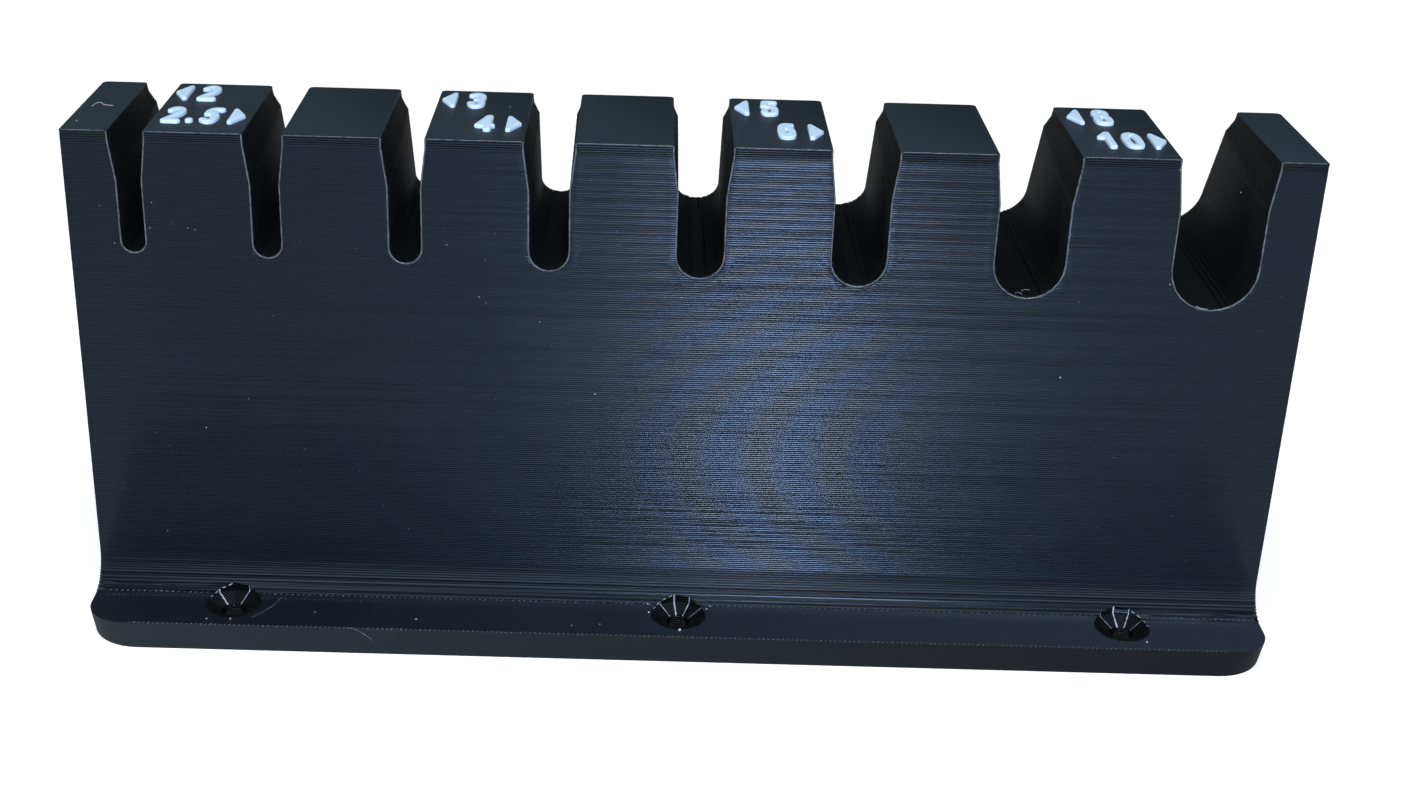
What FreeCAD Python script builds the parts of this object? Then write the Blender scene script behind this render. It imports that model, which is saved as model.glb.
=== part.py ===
import FreeCAD, Part
import math
import os
from FreeCAD import Vector

# Hex key stand, printed in one piece. All sizes are in millimetres.
# +X runs along the row of slots towards the thickest key, +Y runs from the foot to the
# sloping back, +Z is up. The origin is on the base, in the middle of its length and depth.

# The keys that the stand holds, by their width across flats, from left to right.
KEY_SIZES = [2.0, 2.5, 3.0, 4.0, 5.0, 6.0, 8.0, 10.0]

# Slots: upright walls, a round floor and a mouth that flares out to a short upright lip.
SLOT_CLEARANCE = 1.1
SLOT_CENTRE_DEPTH = 14.65
MOUTH_FLARE = 0.7
LIP_DEPTH = 1.2
FLARE_DEPTH_FRONT = 6.6
FLARE_DEPTH_BACK = 3.3

# Blocks left standing between the slots, and the narrow ones at the two ends.
BLOCK_WIDTH = 12.5
END_BLOCK_WIDTH = 6.0

# Wall: an upright front face and a back face that leans away from the top edge.
STAND_HEIGHT = 68.7
TOP_DEPTH = 22.5
BACK_LEAN = 31.0

# Foot: a flat plate along the front that meets the wall in a hollow round. Its front corners
# are rounded, and the rounding grows by FOOT_CORNER_SPREAD down to the base.
FOOT_REACH = 11.3
FOOT_HEIGHT = 3.9
FOOT_ROUND = 5.0
FOOT_CORNER = 5.0
FOOT_CORNER_SPREAD = 2.0

# Screw holes in the foot: a round bore under a faceted sink and recess for the head.
SCREW_COUNT = 3
SCREW_END_DISTANCE = 19.25
SCREW_SETBACK = 5.6
SCREW_BORE = 3.2
HEAD_WIDTH = 7.5
HEAD_SIDES = 11
SINK_DEPTH = 1.0

# How far each cutter reaches past the face that it opens.
CUT_PAST = 1.0

# Widths and places that follow from the sizes above.
slot_widths = [key + SLOT_CLEARANCE for key in KEY_SIZES]
mouth_widths = [width + 2 * MOUTH_FLARE for width in slot_widths]
inner_blocks = len(KEY_SIZES) - 1
stand_length = sum(mouth_widths) + inner_blocks * BLOCK_WIDTH + 2 * END_BLOCK_WIDTH

back_slope = math.tan(math.radians(BACK_LEAN))
stand_depth = FOOT_REACH + TOP_DEPTH + STAND_HEIGHT * back_slope
left_end = -stand_length / 2
front_edge = -stand_depth / 2
wall_front = front_edge + FOOT_REACH
wall_back = wall_front + TOP_DEPTH
back_edge = stand_depth / 2


def slot_centres():
    """Middle of each slot along X: a mouth, then a block, from the left end block on."""
    centres = []
    mouth_start = left_end + END_BLOCK_WIDTH
    for mouth_width in mouth_widths:
        centres.append(mouth_start + mouth_width / 2)
        mouth_start += mouth_width + BLOCK_WIDTH
    return centres


def screw_centres():
    """Middle of each screw hole along X, evenly spaced between the two outer ones."""
    span = stand_length - 2 * SCREW_END_DISTANCE
    pitch = span / (SCREW_COUNT - 1)
    return [-span / 2 + i * pitch for i in range(SCREW_COUNT)]


def closed_wire(points):
    """A closed wire of straight edges through the points."""
    return Part.makePolygon(points + points[:1])


def body_prism():
    """The end view of foot, hollow round, wall and leaning back, drawn out along X."""
    round_start = Vector(left_end, wall_front - FOOT_ROUND, FOOT_HEIGHT)
    round_end = Vector(left_end, wall_front, FOOT_HEIGHT + FOOT_ROUND)
    on_diagonal = FOOT_ROUND * (1 - math.sqrt(0.5))
    round_middle = Vector(left_end, wall_front - on_diagonal, FOOT_HEIGHT + on_diagonal)
    corners = [
        round_end,
        Vector(left_end, wall_front, STAND_HEIGHT),
        Vector(left_end, wall_back, STAND_HEIGHT),
        Vector(left_end, back_edge, 0),
        Vector(left_end, front_edge, 0),
        Vector(left_end, front_edge, FOOT_HEIGHT),
        round_start,
    ]
    edges = [Part.makeLine(a, b) for a, b in zip(corners, corners[1:])]
    edges.append(Part.Arc(round_start, round_middle, round_end).toShape())
    outline = Part.Wire(Part.__sortEdges__(edges))
    return Part.Face(outline).extrude(Vector(stand_length, 0, 0))


def corner_section(side, z):
    """What the foot loses at a front corner at one height, on the left (-1) or the right (1)."""
    top_radius = min(FOOT_CORNER, FOOT_REACH - FOOT_ROUND)
    radius = top_radius + FOOT_CORNER_SPREAD * (FOOT_HEIGHT - z) / FOOT_HEIGHT
    end = side * stand_length / 2
    past_end = end + side * CUT_PAST
    past_front = front_edge - CUT_PAST
    off_centre = radius * (1 - math.sqrt(0.5))
    on_end = Vector(end, front_edge + radius, z)
    on_arc = Vector(end - side * off_centre, front_edge + off_centre, z)
    on_front = Vector(end - side * radius, front_edge, z)
    corners = [
        on_front,
        Vector(end - side * radius, past_front, z),
        Vector(past_end, past_front, z),
        Vector(past_end, front_edge + radius, z),
        on_end,
    ]
    edges = [Part.makeLine(a, b) for a, b in zip(corners, corners[1:])]
    edges.append(Part.Arc(on_end, on_arc, on_front).toShape())
    return Part.Wire(edges)


def corner_cutter(side):
    """The rounding of one front corner of the foot, which grows down to the base."""
    return Part.makeLoft([corner_section(side, 0), corner_section(side, FOOT_HEIGHT)], True, True)


def slot_cutter(centre, width):
    """The channel that a key lies in: upright walls over a half-round floor."""
    radius = width / 2
    floor_centre = STAND_HEIGHT - SLOT_CENTRE_DEPTH
    start = wall_front - CUT_PAST
    top = STAND_HEIGHT + CUT_PAST
    upper_left = Vector(centre - radius, start, top)
    upper_right = Vector(centre + radius, start, top)
    lower_left = Vector(centre - radius, start, floor_centre)
    lower_right = Vector(centre + radius, start, floor_centre)
    bottom = Vector(centre, start, floor_centre - radius)
    edges = [
        Part.makeLine(upper_left, lower_left),
        Part.Arc(lower_left, bottom, lower_right).toShape(),
        Part.makeLine(lower_right, upper_right),
        Part.makeLine(upper_right, upper_left),
    ]
    return Part.Face(Part.Wire(edges)).extrude(Vector(0, back_edge - start, 0))


def mouth_section(centre, width, y, flare_depth):
    """The mouth seen from the front at one depth: a lip over sides that close in."""
    half_slot = width / 2
    half_mouth = half_slot + MOUTH_FLARE
    top = STAND_HEIGHT + CUT_PAST
    lip = STAND_HEIGHT - LIP_DEPTH
    flare_end = STAND_HEIGHT - flare_depth
    return closed_wire([
        Vector(centre - half_mouth, y, top),
        Vector(centre - half_mouth, y, lip),
        Vector(centre - half_slot, y, flare_end),
        Vector(centre + half_slot, y, flare_end),
        Vector(centre + half_mouth, y, lip),
        Vector(centre + half_mouth, y, top),
    ])


def mouth_cutter(centre, width):
    """The flared mouth, deeper at the front of the wall than at its back edge."""
    rise = (FLARE_DEPTH_FRONT - FLARE_DEPTH_BACK) / TOP_DEPTH
    run_to_back = TOP_DEPTH + FLARE_DEPTH_FRONT * back_slope + CUT_PAST
    front_depth = FLARE_DEPTH_FRONT + rise * CUT_PAST
    back_depth = FLARE_DEPTH_FRONT - rise * run_to_back
    front = mouth_section(centre, width, wall_front - CUT_PAST, front_depth)
    back = mouth_section(centre, width, wall_front + run_to_back, back_depth)
    return Part.makeLoft([front, back], True, True)


def facet_ring(centre, radius, z):
    """A regular polygon of the screw head's facets, with its first corner towards +X."""
    corners = []
    for i in range(HEAD_SIDES):
        angle = 2 * math.pi * i / HEAD_SIDES
        corners.append(centre + Vector(radius * math.cos(angle), radius * math.sin(angle), z))
    return closed_wire(corners)


def screw_cutter(x):
    """A bore through the foot, a faceted sink over it and a faceted recess above that."""
    centre = Vector(x, wall_front - SCREW_SETBACK, 0)
    bore = Part.makeCylinder(SCREW_BORE / 2, FOOT_HEIGHT + CUT_PAST, centre - Vector(0, 0, CUT_PAST))
    head_radius = HEAD_WIDTH / 2
    sink_bottom = facet_ring(centre, SCREW_BORE / 2, FOOT_HEIGHT - SINK_DEPTH)
    sink_top = facet_ring(centre, head_radius, FOOT_HEIGHT)
    sink = Part.makeLoft([sink_bottom, sink_top], True, True)
    recess = Part.Face(sink_top).extrude(Vector(0, 0, FOOT_ROUND + CUT_PAST))
    return bore.fuse([sink, recess])


def stand():
    """The whole stand in one solid."""
    body = body_prism()
    cutters = [corner_cutter(side) for side in (-1, 1)]
    for centre, width in zip(slot_centres(), slot_widths):
        cutters.append(slot_cutter(centre, width))
        cutters.append(mouth_cutter(centre, width))
    for x in screw_centres():
        cutters.append(screw_cutter(x))
    return body.cut(cutters).removeSplitter()


os.makedirs("parts", exist_ok=True)
shape = stand()
shape.exportStep("parts/stand.step")

box = shape.BoundBox
print("solids", len(shape.Solids), "valid", shape.isValid(), "volume", round(shape.Volume, 1))
print("box", [round(v, 3) for v in (box.XMin, box.YMin, box.ZMin, box.XMax, box.YMax, box.ZMax)])
print("slot centres", [round(x, 3) for x in slot_centres()])
print("screw centres", [round(x, 3) for x in screw_centres()], "at y", round(wall_front - SCREW_SETBACK, 3))
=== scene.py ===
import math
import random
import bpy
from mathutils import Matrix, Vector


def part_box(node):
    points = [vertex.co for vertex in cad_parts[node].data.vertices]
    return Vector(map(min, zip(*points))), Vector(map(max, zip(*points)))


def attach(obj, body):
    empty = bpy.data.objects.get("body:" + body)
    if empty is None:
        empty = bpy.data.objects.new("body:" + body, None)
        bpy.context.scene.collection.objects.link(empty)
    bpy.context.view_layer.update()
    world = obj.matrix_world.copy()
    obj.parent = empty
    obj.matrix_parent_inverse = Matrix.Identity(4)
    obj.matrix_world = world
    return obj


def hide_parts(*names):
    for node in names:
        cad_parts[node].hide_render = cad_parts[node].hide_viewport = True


bl_info = {
    "name": "Hex key stand",
    "version": (1, 0, 0),
    "blender": (4, 5, 0),
    "location": "3D View > Sidebar > Hex key stand",
    "description": "Dresses the printed hex key stand with its layers, size marks and dust",
    "category": "Object",
}

import bmesh
import bpy
import numpy as np
from bpy.props import FloatProperty, FloatVectorProperty, IntProperty, PointerProperty
from mathutils import Matrix, Vector
from mathutils.bvhtree import BVHTree

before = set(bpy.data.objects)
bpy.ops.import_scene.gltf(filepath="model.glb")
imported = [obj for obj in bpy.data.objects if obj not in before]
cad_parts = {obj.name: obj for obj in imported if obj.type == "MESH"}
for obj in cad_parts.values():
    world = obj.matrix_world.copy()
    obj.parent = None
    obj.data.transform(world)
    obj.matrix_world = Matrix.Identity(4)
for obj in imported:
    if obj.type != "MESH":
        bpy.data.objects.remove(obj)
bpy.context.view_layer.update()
LOW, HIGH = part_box("stand")

# The stand's own sizes, in metres. The overall ones come from the frame.
MM = 0.001
HALF_LENGTH = (HIGH.x - LOW.x) / 2
TOP = HIGH.z
TOP_DEPTH = 22.5 * MM
FOOT_REACH = 11.3 * MM
FOOT_TOP = 3.9 * MM
FOOT_ROUND = 5.0 * MM
WALL_FRONT = LOW.y + FOOT_REACH
BACK_SLOPE = (HIGH.y - WALL_FRONT - TOP_DEPTH) / TOP

# Places closer than this count as touching.
TOUCH = 0.01 * MM

# Slots, by the key that each one holds, and the blocks between them.
KEY_SIZES = (2.0, 2.5, 3.0, 4.0, 5.0, 6.0, 8.0, 10.0)
SLOT_CLEARANCE = 1.1 * MM
MOUTH_FLARE = 0.7 * MM
LIP_DEPTH = 1.2 * MM
FLARE_DEPTH = 6.6 * MM
SLOT_CENTRE_DEPTH = 14.65 * MM
BLOCK_WIDTH = 12.5 * MM
END_BLOCK_WIDTH = 6.0 * MM

# Screw holes in the foot.
SCREW_PLACES = (-60.75 * MM, 0.0, 60.75 * MM)
SCREW_ROW = WALL_FRONT - 5.6 * MM
HEAD_RADIUS = 3.75 * MM
HEAD_SIDES = 11
BORE_RADIUS = 1.6 * MM
SINK_DEPTH = 1.0 * MM


def slot_list():
    """Middle along X and half width of each slot, from left to right."""
    slots = []
    mouth_start = -HALF_LENGTH + END_BLOCK_WIDTH
    for key in KEY_SIZES:
        half_width = (key * MM + SLOT_CLEARANCE) / 2
        half_mouth = half_width + MOUTH_FLARE
        slots.append((mouth_start + half_mouth, half_width))
        mouth_start += 2 * half_mouth + BLOCK_WIDTH
    return slots


SLOTS = slot_list()


def block_start(index):
    """Left edge along X of a block, where block 1 is the first after the first slot."""
    centre, half_width = SLOTS[index - 1]
    return centre + half_width + MOUTH_FLARE


# Kinds of settings that a user can change


def length_setting(name, description, millimetres):
    """A size, with its default in millimetres."""
    default = millimetres * MM
    return FloatProperty(name=name, description=description, default=default, unit="LENGTH", precision=6)


def share_setting(name, description, default):
    """A share between 0 and 1."""
    return FloatProperty(
        name=name, description=description, default=default, min=0, max=1, subtype="FACTOR",
    )


def angle_setting(name, description, degrees):
    """An angle, with its default in degrees."""
    default = math.radians(degrees)
    return FloatProperty(name=name, description=description, default=default, subtype="ANGLE")


def power_setting(name, description, watts):
    """The power of a lamp in watts."""
    return FloatProperty(name=name, description=description, default=watts, min=0, unit="POWER")


def colour_setting(name, description, default):
    """A colour as red, green and blue between 0 and 1."""
    return FloatVectorProperty(
        name=name, description=description, default=default, min=0, max=1, subtype="COLOR",
    )


# Ways to make and place a piece


def add_piece(name, mesh, material):
    """Puts a mesh into the scene as a piece that rides with the stand."""
    piece = bpy.data.objects.new(name, mesh)
    bpy.context.scene.collection.objects.link(piece)
    mesh.materials.clear()
    mesh.materials.append(material)
    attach(piece, "root")
    return piece


def mesh_from(bm, name):
    """Turns a finished bmesh into a mesh and frees it."""
    mesh = bpy.data.meshes.new(name)
    bm.to_mesh(mesh)
    bm.free()
    return mesh


def thread_mesh(name, threads, handles="AUTO"):
    """Thin round threads in one mesh, each a thickness and its places in metres."""
    curve = bpy.data.curves.new(name, "CURVE")
    curve.dimensions = "3D"
    curve.bevel_depth = 0.5 * MM
    curve.bevel_resolution = 1
    curve.resolution_u = 6
    curve.use_fill_caps = True
    for thickness, places in threads:
        spline = curve.splines.new("BEZIER")
        spline.bezier_points.add(len(places) - 1)
        for point, place in zip(spline.bezier_points, places):
            point.co = place
            point.handle_left_type = handles
            point.handle_right_type = handles
            # A radius of 1 makes the thread 1 mm thick.
            point.radius = thickness / MM
    holder = bpy.data.objects.new(name, curve)
    bpy.context.scene.collection.objects.link(holder)
    bpy.context.view_layer.update()
    baked = holder.evaluated_get(bpy.context.evaluated_depsgraph_get())
    mesh = bpy.data.meshes.new_from_object(baked)
    bpy.data.objects.remove(holder)
    bpy.data.curves.remove(curve)
    mesh.name = name
    return mesh


# Materials. Their patterns lie on object coordinates in millimetres.

# Waves for each millimetre along X, Y and Z.
LONG_WAVES = (0.06, 0.06, 1.0)
SHORT_WAVES = (0.22, 0.22, 1.0)
CLOUDS = (0.06, 0.06, 0.06)
PLASTIC_GRAIN = (2.6, 2.6, 2.6)
BEAD_GRAIN = (1.2, 1.2, 1.2)
MARK_GRAIN = (1.6, 1.6, 1.6)
LINT_GRAIN = (4.0, 4.0, 4.0)

# Distance between the rows of the noise that two layers read, so that each has its own, and
# how much of a layer's unevenness comes from the long waves, the short ones and chance.
ROW_GAP = 3.7
WAVE_SHARES = (0.2, 0.5, 0.3)

# How much higher the beads of the last layers under the top stand.
LAST_FULLNESS = 2.0

# How far the rougher finish and the painted shade inside the slots stay off the wall's front, back, ends and
# top, in mm.
FRONT_MARGIN = 0.45
BACK_MARGIN = 0.8
END_MARGIN = 1.0
TOP_MARGIN = 0.1

# The distances behind the foot's front edge between which the finish of its front face ends.
FOOT_FRONT_FADE = (4.0, 6.0)

# The stretch along X over which the painted glints on the hatching's threads on the foot's top come out.
THREAD_GLINT_FADE = (-50.0, 40.0)


class NodeSheet:
    """The nodes of a material or a world, with short ways to add and join them."""

    def __init__(self, owner, output="ShaderNodeOutputMaterial"):
        self.owner = owner
        owner.use_nodes = True
        self.tree = owner.node_tree
        self.tree.nodes.clear()
        self.output = self.tree.nodes.new(output)

    def add(self, kind, inputs=None, **settings):
        """A node with its settings made and its sockets given a value or a link."""
        node = self.tree.nodes.new(kind)
        for key, value in settings.items():
            setattr(node, key, value)
        for key, value in (inputs or {}).items():
            if isinstance(value, bpy.types.NodeSocket):
                self.tree.links.new(value, node.inputs[key])
            else:
                node.inputs[key].default_value = value
        return node

    def math(self, operation, *values):
        """A Math node's result for one to three values or links."""
        node = self.add("ShaderNodeMath", dict(enumerate(values)), operation=operation)
        return node.outputs[0]

    def product(self, first, *others):
        """Numbers or masks multiplied together."""
        for other in others:
            first = self.math("MULTIPLY", first, other)
        return first

    def millimetres(self):
        """Object coordinates in millimetres."""
        place = self.add("ShaderNodeTexCoord").outputs["Object"]
        return self.add("ShaderNodeVectorMath", {0: place, "Scale": 1 / MM}, operation="SCALE").outputs[0]

    def axes(self, place):
        """A place's or a direction's X, Y and Z."""
        return self.add("ShaderNodeSeparateXYZ", {0: place}).outputs

    def facing_up(self, from_slope, to_slope):
        """0 on walls and 1 on faces that look up."""
        normal = self.add("ShaderNodeTexCoord").outputs["Normal"]
        return self.ramp(self.axes(normal)["Z"], from_slope, to_slope, 0.0, 1.0)

    def noise(self, place, stretch, detail=3.0, roughness=0.55):
        """Noise over places in millimetres, with its own scale along each axis."""
        mapped = self.add("ShaderNodeMapping", {"Vector": place, "Scale": stretch}).outputs[0]
        inputs = {"Vector": mapped, "Scale": 1.0, "Detail": detail, "Roughness": roughness}
        return self.add("ShaderNodeTexNoise", inputs).outputs["Fac"]

    def ramp(self, value, start, end, low, high, kind="LINEAR"):
        """A number that goes from low to high while the value goes from start to end."""
        inputs = {0: value, 1: start, 2: end, 3: low, 4: high}
        return self.add("ShaderNodeMapRange", inputs, interpolation_type=kind).outputs[0]

    def mix(self, factor, low, high):
        """A number that goes from low to high, each a value or a link."""
        node = self.add("ShaderNodeMix", {0: factor, 2: low, 3: high}, data_type="FLOAT")
        return node.outputs[0]

    def mix_colour(self, factor, low, high):
        """A colour that goes from low to high, each three numbers or a link."""
        ends = [end if isinstance(end, bpy.types.NodeSocket) else (*end, 1) for end in (low, high)]
        node = self.add("ShaderNodeMix", {0: factor, 6: ends[0], 7: ends[1]}, data_type="RGBA")
        return node.outputs[2]

    def bump(self, height, distance, normal=None):
        """A bump of that depth in metres, over another one if given."""
        inputs = {"Height": height, "Distance": distance, "Strength": 1.0}
        if normal is not None:
            inputs["Normal"] = normal
        return self.add("ShaderNodeBump", inputs).outputs[0]

    def plastic(self, inputs):
        """The finished material, with a Principled shader that has these inputs."""
        return self.finish(self.add("ShaderNodeBsdfPrincipled", inputs))

    def finish(self, shader):
        """The finished material or world, with that shader on its surface."""
        self.tree.links.new(shader.outputs[0], self.output.inputs["Surface"])
        return self.owner


def material_sheet(name):
    """The empty node sheet of a new material."""
    return NodeSheet(bpy.data.materials.new(name))


def toned(colour, factor):
    """A colour made darker or lighter."""
    return [factor * channel for channel in colour]


def bead_walls(sheet, axes, settings):
    """Height of the beads across upright faces, with a round back for each layer, and the
    uneven waves along them."""
    level = sheet.math("DIVIDE", axes["Z"], settings.layer_height / MM)
    layer = sheet.math("FLOOR", level)
    across = sheet.math("SUBTRACT", level, layer)
    falling = sheet.math("SUBTRACT", 1.0, across)
    profile = sheet.product(across, falling, 4.0)
    own_row = sheet.math("MULTIPLY", layer, ROW_GAP)
    row = sheet.add("ShaderNodeCombineXYZ", {0: axes["X"], 1: axes["Y"], 2: own_row}).outputs[0]
    long_waves = sheet.noise(row, LONG_WAVES, 2.0, 0.6)
    short_waves = sheet.noise(row, SHORT_WAVES, 2.0, 0.6)
    chance = sheet.add("ShaderNodeTexWhiteNoise", {"W": layer}, noise_dimensions="1D").outputs["Value"]
    waves = 0.0
    for source, weight in zip((long_waves, short_waves, chance), WAVE_SHARES):
        waves = sheet.math("MULTIPLY_ADD", source, weight, waves)
    fullness = sheet.ramp(waves, 0.35, 0.65, 0.8, 1.2)
    last_layers = sheet.math("GREATER_THAN", axes["Z"], (TOP - settings.last_band) / MM)
    fuller = sheet.math("MULTIPLY_ADD", last_layers, LAST_FULLNESS, fullness)
    return sheet.math("MULTIPLY", profile, fuller), waves


def inside_slots(sheet, axes):
    """1 on the walls and floors of the slots, behind the wall's front and inside its back."""
    at_base = sheet.math("MULTIPLY_ADD", axes["Z"], BACK_SLOPE, axes["Y"])
    from_middle = sheet.math("ABSOLUTE", axes["X"])
    return sheet.product(
        sheet.math("GREATER_THAN", axes["Y"], WALL_FRONT / MM + FRONT_MARGIN),
        sheet.math("LESS_THAN", at_base, HIGH.y / MM - BACK_MARGIN),
        sheet.math("LESS_THAN", from_middle, HALF_LENGTH / MM - END_MARGIN),
        sheet.math("LESS_THAN", axes["Z"], TOP / MM - TOP_MARGIN),
    )


def on_foot_front(sheet, axes):
    """1 on the foot's front face and its rounded corners, and 0 on its top and further back."""
    start, end = (LOW.y / MM + reach for reach in FOOT_FRONT_FADE)
    ahead = sheet.ramp(axes["Y"], start, end, 1.0, 0.0)
    return sheet.product(ahead, sheet.math("LESS_THAN", axes["Z"], FOOT_TOP / MM - 0.02))


def in_sinks(sheet, axes):
    """1 inside the foot's three screw holes."""
    from_middle = sheet.math("ABSOLUTE", axes["X"])
    from_outer = sheet.math("SUBTRACT", from_middle, SCREW_PLACES[2] / MM)
    across = sheet.math("MINIMUM", from_middle, sheet.math("ABSOLUTE", from_outer))
    behind = sheet.math("SUBTRACT", axes["Y"], SCREW_ROW / MM)
    squares = sheet.math("ADD", sheet.math("POWER", across, 2.0), sheet.math("POWER", behind, 2.0))
    near = sheet.math("LESS_THAN", sheet.math("SQRT", squares), HEAD_RADIUS / MM + 0.02)
    return sheet.product(near, sheet.math("LESS_THAN", axes["Z"], FOOT_TOP / MM + 1.3))


def foot_top_glint_mask(sheet, axes, up):
    """Where the foot's hatching gets painted glints: 1 on the foot's level top, weaker towards its left end,
    and 0 elsewhere.
    """
    low = sheet.math("LESS_THAN", axes["Z"], FOOT_TOP / MM + 0.45)
    return sheet.product(low, up, sheet.ramp(axes["X"], *THREAD_GLINT_FADE, 0.15, 1.0))


def plastic_surface(sheet, place, beads, hatch, up, settings):
    """Bumps of the plastic: ribs on upright faces, a grain all over and hatching on level ones."""
    upright = sheet.math("SUBTRACT", 1.0, up)
    ribs = sheet.bump(sheet.math("MULTIPLY", beads, upright), settings.bead_depth)
    grain = sheet.noise(place, PLASTIC_GRAIN, 2.0)
    grained = sheet.bump(grain, settings.grain_depth, ribs)
    return sheet.bump(sheet.math("MULTIPLY", hatch, up), settings.hatch_depth, grained)


def printed_plastic(settings):
    """Blue-black plastic laid in beads: ribbed walls, hatched level faces and a soft gloss, with painted
    light on the level top, painted glints on the foot's hatching and painted shade in the slots and screw
    holes.
    """
    sheet = material_sheet("printed_plastic")
    place = sheet.millimetres()
    axes = sheet.axes(place)
    up = sheet.facing_up(0.75, 0.95)
    beads, waves = bead_walls(sheet, axes, settings)
    hatch_scale = 0.2 * math.pi / (math.sqrt(2) * settings.bead_width / MM)
    hatch = sheet.add(
        "ShaderNodeTexWave",
        {"Vector": place, "Scale": hatch_scale, "Distortion": 0.6, "Detail": 1.0, "Detail Scale": 0.4},
        wave_type="BANDS",
        bands_direction="DIAGONAL",
    ).outputs["Fac"]
    in_slot = inside_slots(sheet, axes)
    foot_front = on_foot_front(sheet, axes)
    top = sheet.math("GREATER_THAN", axes["Z"], TOP / MM - 0.05)

    gloss_shift = sheet.ramp(waves, 0.0, 1.0, 0.03, -0.03)
    wall_gloss = sheet.math("ADD", gloss_shift, settings.wall_roughness)
    roughness = sheet.mix(up, wall_gloss, settings.top_roughness)
    roughness = sheet.mix(in_slot, roughness, settings.slot_roughness)
    roughness = sheet.mix(foot_front, roughness, settings.slot_roughness)

    clouds = sheet.noise(place, CLOUDS, 2.0)
    ends = (toned(settings.plastic_colour, factor) for factor in (0.85, 1.2))
    colours = sheet.mix_colour(clouds, *ends)
    # Painted light: the level top is given a lighter colour than the rest of the plastic.
    colours = sheet.mix_colour(top, colours, settings.top_painted_light_colour)
    # Painted glints: the hatching's threads on the foot's top are coloured paler, more so towards the right.
    threads = sheet.product(sheet.ramp(hatch, 0.3, 1.0, 0.0, 1.0), foot_top_glint_mask(sheet, axes, up))
    colours = sheet.mix_colour(threads, colours, settings.foot_thread_glint_colour)
    # Painted shade: the slots' walls and floors are coloured darker.
    colours = sheet.mix_colour(in_slot, colours, settings.slot_painted_shade_colour)
    to_right = sheet.ramp(axes["X"], LOW.x / MM, HIGH.x / MM, 0.0, 1.0)
    front = sheet.mix_colour(to_right, settings.foot_left_colour, settings.foot_right_colour)
    colours = sheet.mix_colour(foot_front, colours, front)
    # Painted shade: the screw holes are coloured as dark as the slots.
    colours = sheet.mix_colour(in_sinks(sheet, axes), colours, settings.slot_painted_shade_colour)
    return sheet.plastic({
        "Base Color": colours,
        "Roughness": roughness,
        "Normal": plastic_surface(sheet, place, beads, hatch, up, settings),
        "Specular IOR Level": settings.gloss_level,
        "Specular Tint": (*settings.gloss_colour, 1),
    })


def white_print(settings):
    """Raised white plastic of the size marks, with a soft sheen and a fine grain."""
    sheet = material_sheet("white_print")
    grain = sheet.noise(sheet.millimetres(), MARK_GRAIN)
    return sheet.plastic({
        "Base Color": sheet.mix_colour(grain, toned(settings.mark_colour, 0.9), settings.mark_colour),
        "Roughness": 0.42,
        "Normal": sheet.bump(grain, 0.03 * MM),
    })


def lint_white(settings):
    """Pale dust and fibres."""
    sheet = material_sheet("pale_lint")
    grain = sheet.noise(sheet.millimetres(), LINT_GRAIN, 2.0)
    return sheet.plastic({
        "Base Color": sheet.mix_colour(grain, toned(settings.lint_colour, 0.4), settings.lint_colour),
        "Roughness": 0.8,
    })


def glint_painted_plastic(name, pale, settings):
    """The same plastic where a single stretched bead lies on an edge, smooth, and painted paler in spots as a
    glint.
    """
    sheet = material_sheet(name)
    grain = sheet.noise(sheet.millimetres(), BEAD_GRAIN)
    spots = sheet.ramp(grain, 0.35, 0.65, 0.0, 1.0)
    return sheet.plastic({
        "Base Color": sheet.mix_colour(spots, toned(pale, 0.3), pale),
        "Roughness": sheet.ramp(grain, 0.0, 1.0, 0.2, 0.36),
        "Specular IOR Level": settings.bead_gloss,
    })


# The printed body

# An edge counts as the wall's outline or as a facet's from this angle on.
OUTLINE_ANGLE = math.radians(30)
FACET_ANGLE = math.radians(28)


def slot_edge_distance(x, z):
    """How far a place on the wall's front is from the nearest slot or end of the wall."""
    nearest = HALF_LENGTH - abs(x)
    centre_height = TOP - SLOT_CENTRE_DEPTH
    for centre, half_width in SLOTS:
        if z < centre_height:
            gap = math.hypot(x - centre, z - centre_height) - half_width
        else:
            flare = (z - TOP + FLARE_DEPTH) / (FLARE_DEPTH - LIP_DEPTH)
            gap = abs(x - centre) - half_width - MOUTH_FLARE * min(max(flare, 0), 1)
        nearest = min(nearest, gap)
    return nearest


def is_wall_outline(edge):
    """An upright outline of the wall, round a slot or at an end."""
    if len(edge.link_faces) != 2 or edge.calc_face_angle() < OUTLINE_ANGLE:
        return False
    heights = [vert.co.z for vert in edge.verts]
    return min(heights) <= TOP - TOUCH and max(heights) >= TOUCH


def is_wall_front_edge(edge):
    """A part of that outline on the wall's front."""
    return is_wall_outline(edge) and all(abs(vert.co.y - WALL_FRONT) < TOUCH for vert in edge.verts)


def is_wall_back_edge(edge):
    """A part of that outline on the wall's leaning back."""
    gaps = [vert.co.y - (HIGH.y - vert.co.z * BACK_SLOPE) for vert in edge.verts]
    return is_wall_outline(edge) and max(abs(gap) for gap in gaps) < 2 * TOUCH


def is_top_front_edge(edge):
    """An edge between the level top and the wall's front."""
    return all(
        abs(vert.co.z - TOP) < 0.5 * TOUCH and abs(vert.co.y - WALL_FRONT) < 10 * TOUCH for vert in edge.verts
    )


def is_facet_edge(edge):
    """An upright corner between two facets of a screw's recess."""
    if len(edge.link_faces) != 2 or edge.calc_face_angle() < FACET_ANGLE:
        return False
    a, b = (vert.co for vert in edge.verts)
    return abs(a.z - b.z) > 0.2 * MM and in_screw_hole(a) and in_screw_hole(b)


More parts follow.
